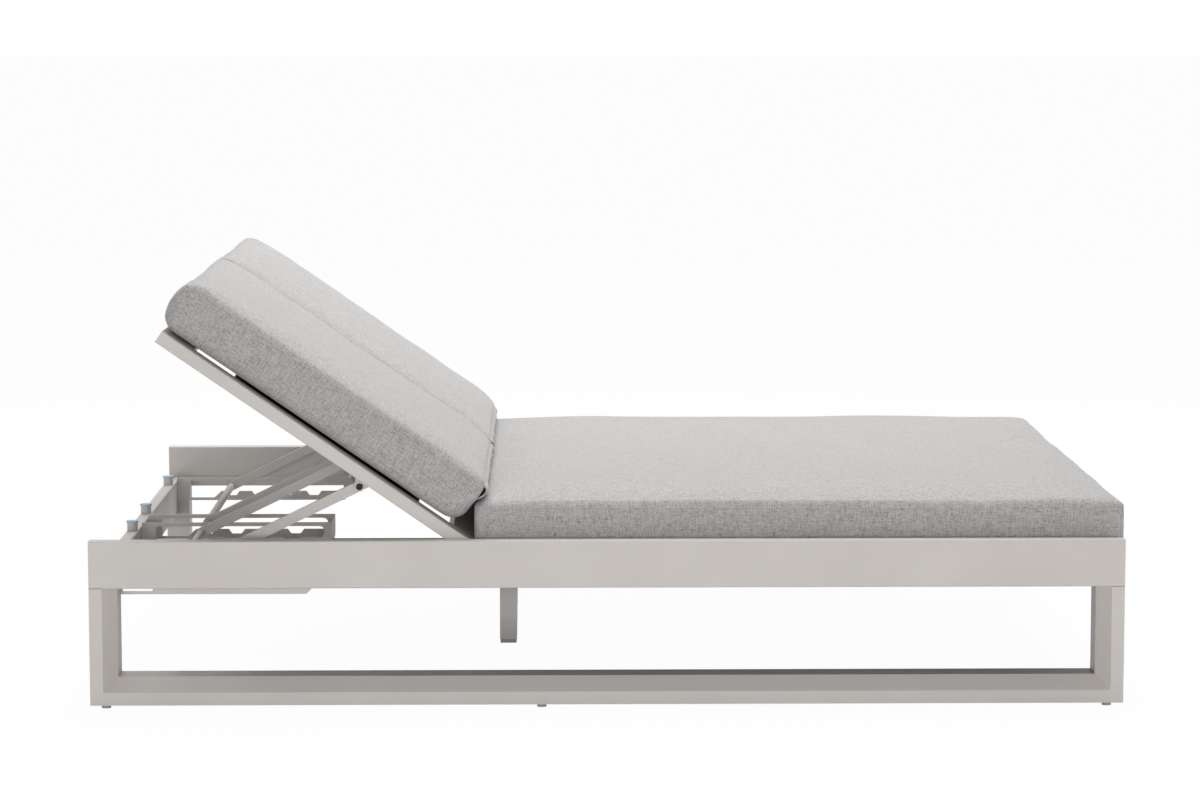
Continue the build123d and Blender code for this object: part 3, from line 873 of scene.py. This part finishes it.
    def seam(self, cushion: bpy.types.Object, height: float, radius: float, tag: str) -> bpy.types.Object:
        """Run a sewn seam round the cushion at one height, lying on its cover.

        The loop is a rectangle, pulled to the nearest point of the cover and smoothed by weights of 1, 2
        and 1. A small round section is carried along it: p + r (cos t n + sin t k), where n points
        outwards and k along up.

        Args:
            cushion: the finished cushion.
            height: the seam's height above the underside.
            radius: the seam's own radius.
            tag: the word that ends its name.

        Returns:
            The seam's object.
        """
        count, rows = self.seam_sections, self.seam_sides
        turn = np.linspace(0, 2 * np.pi, count, endpoint=False)
        square = np.stack([np.cos(turn), np.sin(turn)], axis=1)
        square /= np.maximum(np.abs(square).max(axis=1, keepdims=True), 1e-9)
        flat = square * np.array([self.length / 2, self.width / 2])
        loop = np.column_stack([flat, np.full(count, height)])
        path = self.pull_to_cover(cushion, self.bench.place(loop))
        for _ in range(self.seam_smoothings):
            path = (np.roll(path, 1, axis=0) + 2 * path + np.roll(path, -1, axis=0)) / 4
        tangent = np.roll(path, -1, axis=0) - np.roll(path, 1, axis=0)
        tangent /= np.maximum(np.linalg.norm(tangent, axis=1, keepdims=True), 1e-12)
        outward = np.cross(tangent, self.bench.up)
        outward /= np.linalg.norm(outward, axis=1, keepdims=True)
        angle = np.linspace(0, 2 * np.pi, rows, endpoint=False)
        ring = (
            path[:, None, :]
            + radius * np.cos(angle)[None, :, None] * outward[:, None, :]
            + radius * np.sin(angle)[None, :, None] * self.bench.up[None, None, :]
        )
        obj = mesh_object(f"{self.name}_{tag}", ring.reshape(-1, 3), ring_grid(rows, count))
        obj.data.materials.append(self.cloth)
        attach(obj, self.body)
        LOG.info("%s: seam of %d sections", obj.name, count)
        return obj


@dataclass
class StretchedSling:
    """A mesh sheet stretched between two rails, with its edges in their grooves."""

    name: str
    bench: Bench
    length: float
    width: float
    sag: float
    body: str
    node: str
    rails: tuple[str, ...]
    cloth: bpy.types.Material
    thickness: float = 1.2 * MM
    rows: int = 48
    columns: int = 28
    ripple_depth: float = 0.6 * MM
    ripple_count: int = 7

    def build(self) -> bpy.types.Object:
        """Make the sheet: a grid that dips by sag (1 - b^2) between its rails, b from -1 to 1 across.

        A faint ripple, ripple_depth sin(pi ripple_count a) (1 - b^2), with a from 0 to 1 along, lies on it.

        Returns:
            The finished sheet.
        """
        rows, columns = self.rows, self.columns
        a, b = np.meshgrid(np.linspace(0, self.length, rows), np.linspace(-1, 1, columns), indexing="ij")
        ripple = self.ripple_depth * np.sin(a / self.length * np.pi * self.ripple_count) * (1 - b**2)
        local = np.stack([a, b * self.width / 2, -self.sag * (1 - b**2) + ripple], axis=-1).reshape(-1, 3)
        obj = mesh_object(self.name, self.bench.place(local), sheet_grid(rows, columns))
        obj.data.materials.append(self.cloth)
        wall = obj.modifiers.new("thickness", "SOLIDIFY")
        wall.thickness, wall.offset = self.thickness, 0.0
        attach(obj, self.body)
        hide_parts(self.node)
        LOG.info("%s: %.2f by %.2f m", self.name, self.width, self.length)
        return obj


@dataclass
class CushionSet:
    """The seat cushion and the two back cushions, with their seams and foot hems."""

    wardrobe: Wardrobe
    backrest: Backrest
    seat_start: float = -0.266
    seat_end: float = 1.014
    seat_width: float = 1.412
    seat_low: float = 0.3078
    seat_thickness: float = 0.091
    back_start: float = 0.064
    back_end: float = 0.774
    back_outer: float = 0.706
    back_inner: float = 0.0005
    back_thickness: float = 0.108
    back_lift: float = 0.0008
    less_length: float = 0.006
    less_width: float = 0.008
    seat_shape: CushionShape = CushionShape(
        edge_top=0.013, edge_low=0.013, foot_top=0.011, foot_low=0.011, crown=0.018, belly=0.0, draw=0.002
    )
    back_shape: CushionShape = CushionShape(
        edge_top=0.013,
        edge_low=0.022,
        foot_top=0.010,
        foot_low=0.036,
        crown=0.008,
        belly=0.006,
        draw=0.003,
        edge_inner=0.008,
        head_bulge=0.014,
    )
    seat_seed: int = 11
    back_seed: int = 23
    seat_top_seam: float = 0.082
    seat_low_seam: float = 0.014
    back_top_seam: float = 0.100
    back_low_seam: float = 0.022
    top_seam_radius: float = 0.0015
    low_seam_radius: float = 0.0011
    hem_bend: tuple[float, float] = (0.027, 0.002)
    hem_end: tuple[float, float] = (0.010, 0.031)
    hem_side_gap: float = 0.010
    hem_inset: float = 0.002
    hem_sink: float = 0.003
    hem_drop_start: float = 0.001
    hem_thickness: float = 0.0022
    hem_wave: float = 0.0022
    hem_wave_turns: float = 23.0
    hem_wave_drift: tuple[float, float] = (2.0, 5.0)
    hem_ripple: float = 0.0012
    hem_ripple_turns: float = 51.0
    hem_hang_swing: float = 0.04
    hem_hang_turns: float = 17.0
    hem_rows: int = 140
    hem_columns: int = 10

    def build_seat(self) -> None:
        """Make the one-piece seat cushion."""
        middle = (self.seat_start + self.seat_end) / 2
        cushion = BoxCushion(
            "seat_cushion_cover",
            level_bench(middle, 0.0, self.seat_low),
            self.seat_end - self.seat_start - self.less_length,
            self.seat_width - self.less_width,
            self.seat_thickness,
            self.seat_shape,
            body="base",
            nodes=("seat_cushion",),
            cloth=self.wardrobe.seat_cloth,
            seed=self.seat_seed,
        )
        cover = cushion.build()
        cushion.seam(cover, self.seat_top_seam, self.top_seam_radius, "top_seam")
        cushion.seam(cover, self.seat_low_seam, self.low_seam_radius, "low_seam")

    def build_back(self, side: Side) -> None:
        """Make one back cushion with its seams and the hem at its foot.

        Args:
            side: the half of the lounger.
        """
        y = side.value * (self.back_outer + self.back_inner) / 2
        length = self.back_end - self.back_start
        rise = self.backrest.rail_half + self.back_lift
        cushion = BoxCushion(
            f"back_cushion_cover_{side.word}",
            self.backrest.bench((self.back_start + self.back_end) / 2, y, rise),
            length - self.less_length,
            self.back_outer - self.back_inner - self.less_width,
            self.back_thickness,
            self.back_shape,
            body=f"backrest_{side.word}",
            nodes=(f"back_cushion_{side.word}",),
            cloth=self.wardrobe.back_cloth,
            seed=self.back_seed + side.value,
            inner_side=-side.value,
        )
        cover = cushion.build()
        cushion.seam(cover, self.back_top_seam, self.top_seam_radius, "top_seam")
        cushion.seam(cover, self.back_low_seam, self.low_seam_radius, "low_seam")
        self.build_hem(side, cushion, cover)

    def build_hem(self, side: Side, cushion: BoxCushion, cover: bpy.types.Object) -> None:
        """Make the loose flap sewn to the foot's top edge of a back cushion, which hangs over the gap.

        Its root is a line on the cover, sunk by hem_sink. Its section is the quadratic curve
        2 s (1 - s) c + s^2 e of s from 0 to 1, with c (hem_bend) and e (hem_end) measured outwards and
        downwards from the root. It is moved out by s times a slow and a quick sine wave of b, which runs
        from -1 to 1 across. The slow one's phase and the length of the drop each swing by a sine of b.

        Args:
            side: the half of the lounger.
            cushion: the cushion that carries it.
            cover: the finished cover of that cushion.
        """
        rows, columns = self.hem_rows, self.hem_columns
        across = np.linspace(-1, 1, rows) * (cushion.width / 2 - self.hem_side_gap)
        edge = np.full(rows, self.hem_inset - cushion.length / 2)
        top_edge = np.stack([edge, across, np.full(rows, cushion.thickness)], axis=-1)
        root = cushion.pull_to_cover(cover, cushion.bench.place(top_edge))
        b, s = np.meshgrid(np.linspace(-1, 1, rows), np.linspace(0, 1, columns), indexing="ij")
        drift = self.hem_wave_drift[0] * np.sin(b * self.hem_wave_drift[1])
        ripple = self.hem_ripple * np.sin(b * self.hem_ripple_turns + side.value)
        wave = (self.hem_wave * np.sin(b * self.hem_wave_turns + drift) + ripple) * s
        hang = 1 + self.hem_hang_swing * np.sin(b * self.hem_hang_turns)
        out = 2 * s * (1 - s) * self.hem_bend[0] + s**2 * self.hem_end[0] + wave - self.hem_sink
        drop = (2 * s * (1 - s) * self.hem_bend[1] + s**2 * self.hem_end[1]) * hang + self.hem_drop_start
        points = root[:, None, :] - out[..., None] * cushion.bench.along - drop[..., None] * cushion.bench.up
        quads = sheet_grid(rows, columns)[:, [0, 3, 2, 1]]
        obj = mesh_object(f"back_cushion_hem_{side.word}", points.reshape(-1, 3), quads)
        obj.data.materials.append(cushion.cloth)
        wall = obj.modifiers.new("thickness", "SOLIDIFY")
        wall.thickness, wall.offset = self.hem_thickness, 0.0
        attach(obj, cushion.body)
        LOG.info("%s: %.2f m wide", obj.name, cushion.width - 2 * self.hem_side_gap)

    def build(self) -> None:
        """Make all three cushions."""
        self.build_seat()
        for side in Side:
            self.build_back(side)


@dataclass
class SlingSet:
    """The four slings: two under the seat and one in each backrest."""

    wardrobe: Wardrobe
    backrest: Backrest
    seat_start: float = -0.172
    seat_end: float = 0.905
    deck_middle: float = 0.2945
    groove_rise: float = 0.008
    seat_bay: tuple[float, float] = (0.025, 0.670)
    back_start: float = 0.160
    back_end: float = 0.595
    back_bay: tuple[float, float] = (0.055, 0.665)
    into_grooves: float = 0.004
    seat_sag: float = 0.004
    back_sag: float = 0.003

    def build(self) -> None:
        """Make the slings, each dipping a little between its rails."""
        for side in Side:
            y = side.value * sum(self.seat_bay) / 2
            bay = self.seat_bay[1] - self.seat_bay[0] + self.into_grooves
            StretchedSling(
                f"seat_sling_cloth_{side.word}",
                level_bench(self.seat_start, y, self.deck_middle + self.groove_rise),
                self.seat_end - self.seat_start,
                bay,
                self.seat_sag,
                "base",
                f"seat_sling_{side.word}",
                (f"seat_rail_{side.word}", "seat_rail_centre"),
                self.wardrobe.seat_mesh,
            ).build()
            y = side.value * sum(self.back_bay) / 2
            bay = self.back_bay[1] - self.back_bay[0] + self.into_grooves
            StretchedSling(
                f"back_sling_cloth_{side.word}",
                self.backrest.bench(self.back_start, y, self.groove_rise),
                self.back_end - self.back_start,
                bay,
                self.back_sag,
                f"backrest_{side.word}",
                f"back_sling_{side.word}",
                (f"back_outer_rail_{side.word}", f"back_inner_rail_{side.word}"),
                self.wardrobe.back_mesh,
            ).build()


@dataclass(frozen=True)
class Lamp:
    """One rectangular soft lamp: where it hangs, the point it faces, its width and height, and its watts."""

    name: str
    place: tuple[float, float, float]
    aim: tuple[float, float, float]
    size: tuple[float, float]
    power: float

    def hang(self) -> None:
        """Put the lamp into the scene, turned so that it faces its aim."""
        data = bpy.data.lights.new(self.name, "AREA")
        data.shape, data.energy = "RECTANGLE", self.power
        data.size, data.size_y = self.size
        lamp = bpy.data.objects.new(self.name, data)
        way = np.array(self.aim) - np.array(self.place)
        lamp.location = self.place
        flat = math.hypot(way[0], way[1])
        lamp.rotation_euler = (math.atan2(flat, -way[2]), 0.0, math.atan2(-way[0], way[1]))
        bpy.context.scene.collection.objects.link(lamp)


@dataclass
class Studio:
    """A plain pale floor, soft lamps and the camera at the photograph's angle."""

    camera_place: tuple[float, float, float] = (-0.1203, -7.4417, 1.3522)
    camera_pitch: float = 0.11124
    camera_yaw: float = -0.01569
    lens_mm: float = 105.37
    sensor_mm: float = 36.0
    sight_end: float = 100.0
    world_level: float = 0.23
    floor_white: float = 0.97
    floor_reach: float = 400.0
    floor_colour: str = "#F4F4F4"
    lamps: tuple[Lamp, ...] = (
        Lamp("top_soft", (0.2, 1.4, 4.3), (0.0, 0.3, 0.3), (4.5, 4.5), 312.0),
        Lamp("front_wall", (-0.6, -9.0, 1.0), (-0.1, 0.0, 0.3), (6.0, 1.9), 358.0),
        Lamp("foot_soft", (5.0, -3.2, 1.6), (0.9, 0.0, 0.3), (1.8, 1.8), 14.0),
    )

    def build_camera(self) -> None:
        """Set the camera up for a 1200 by 800 picture."""
        data = bpy.data.cameras.new("camera")
        data.lens, data.sensor_width, data.clip_end = self.lens_mm, self.sensor_mm, self.sight_end
        camera = bpy.data.objects.new("camera", data)
        camera.location = self.camera_place
        camera.rotation_euler = (math.pi / 2 - self.camera_pitch, 0.0, self.camera_yaw)
        bpy.context.scene.collection.objects.link(camera)
        bpy.context.scene.camera = camera

    def unlit_share(self, tree: bpy.types.NodeTree, share: float) -> Any:
        """Give the share of plain white that camera, glossy and transmission rays see.

        It is the sum of the three ray flags, held at 1, times share.

        Args:
            tree: the node tree that gets the nodes.
            share: the share that such a ray sees.

        Returns:
            The output socket of the share, which is 0 for every other ray.
        """
        path = add_node(tree, "ShaderNodeLightPath")
        flags = add_node(
            tree,
            "ShaderNodeMath",
            {0: path.outputs["Is Camera Ray"], 1: path.outputs["Is Glossy Ray"]},
            operation="ADD",
        )
        seen = add_node(
            tree,
            "ShaderNodeMath",
            {0: flags.outputs[0], 1: path.outputs["Is Transmission Ray"]},
            operation="ADD",
            use_clamp=True,
        )
        held = add_node(tree, "ShaderNodeMath", {0: seen.outputs[0], 1: share}, operation="MULTIPLY")
        return held.outputs[0]

    def build_floor(self) -> None:
        """Lay the floor: a wide pale plane that shows white to the camera and keeps a faint shadow."""
        far = self.floor_reach
        corners = np.array([[-far, -far, 0], [far, -far, 0], [far, far, 0], [-far, far, 0]], float)
        floor = mesh_object("floor", corners, [[0, 1, 2, 3]])
        material, tree = blank_material("pale_floor")
        matt = add_node(tree, "ShaderNodeBsdfDiffuse", {"Color": linear(self.floor_colour)})
        white = add_node(tree, "ShaderNodeEmission", {"Color": (1, 1, 1, 1), "Strength": 1.0})
        both = add_node(
            tree,
            "ShaderNodeMixShader",
            {0: self.unlit_share(tree, self.floor_white), 1: matt.outputs[0], 2: white.outputs[0]},
        )
        add_node(tree, "ShaderNodeOutputMaterial", {"Surface": both.outputs[0]})
        floor.data.materials.append(material)

    def build_world(self) -> None:
        """Fill the world with even light, and show it white to the camera."""
        world = bpy.data.worlds.new("studio")
        world.use_nodes = True
        tree = world.node_tree
        tree.nodes.clear()
        light = add_node(tree, "ShaderNodeBackground", {"Color": (1, 1, 1, 1), "Strength": self.world_level})
        white = add_node(tree, "ShaderNodeBackground", {"Color": (1, 1, 1, 1), "Strength": 1.0})
        both = add_node(
            tree,
            "ShaderNodeMixShader",
            {0: self.unlit_share(tree, 1.0), 1: light.outputs[0], 2: white.outputs[0]},
        )
        add_node(tree, "ShaderNodeOutputWorld", {"Surface": both.outputs[0]})
        bpy.context.scene.world = world

    def build(self) -> None:
        """Make the camera, floor, world and lamps, and set the plain view transform."""
        self.build_camera()
        self.build_floor()
        self.build_world()
        for lamp in self.lamps:
            lamp.hang()
        bpy.context.scene.view_settings.view_transform = "Standard"


def main() -> None:
    """Load the frame and dress it, piece by piece."""
    logging.basicConfig(level=logging.INFO, format="%(name)s: %(message)s")
    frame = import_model()
    backrest = Backrest()
    wardrobe = Wardrobe(backrest.angle_deg)
    wardrobe.dress_nodes(frame["record"], frame["nodes"])
    Studio().build()
    SlingSet(wardrobe, backrest).build()
    CushionSet(wardrobe, backrest).build()


if __name__ == "__main__":
    main()
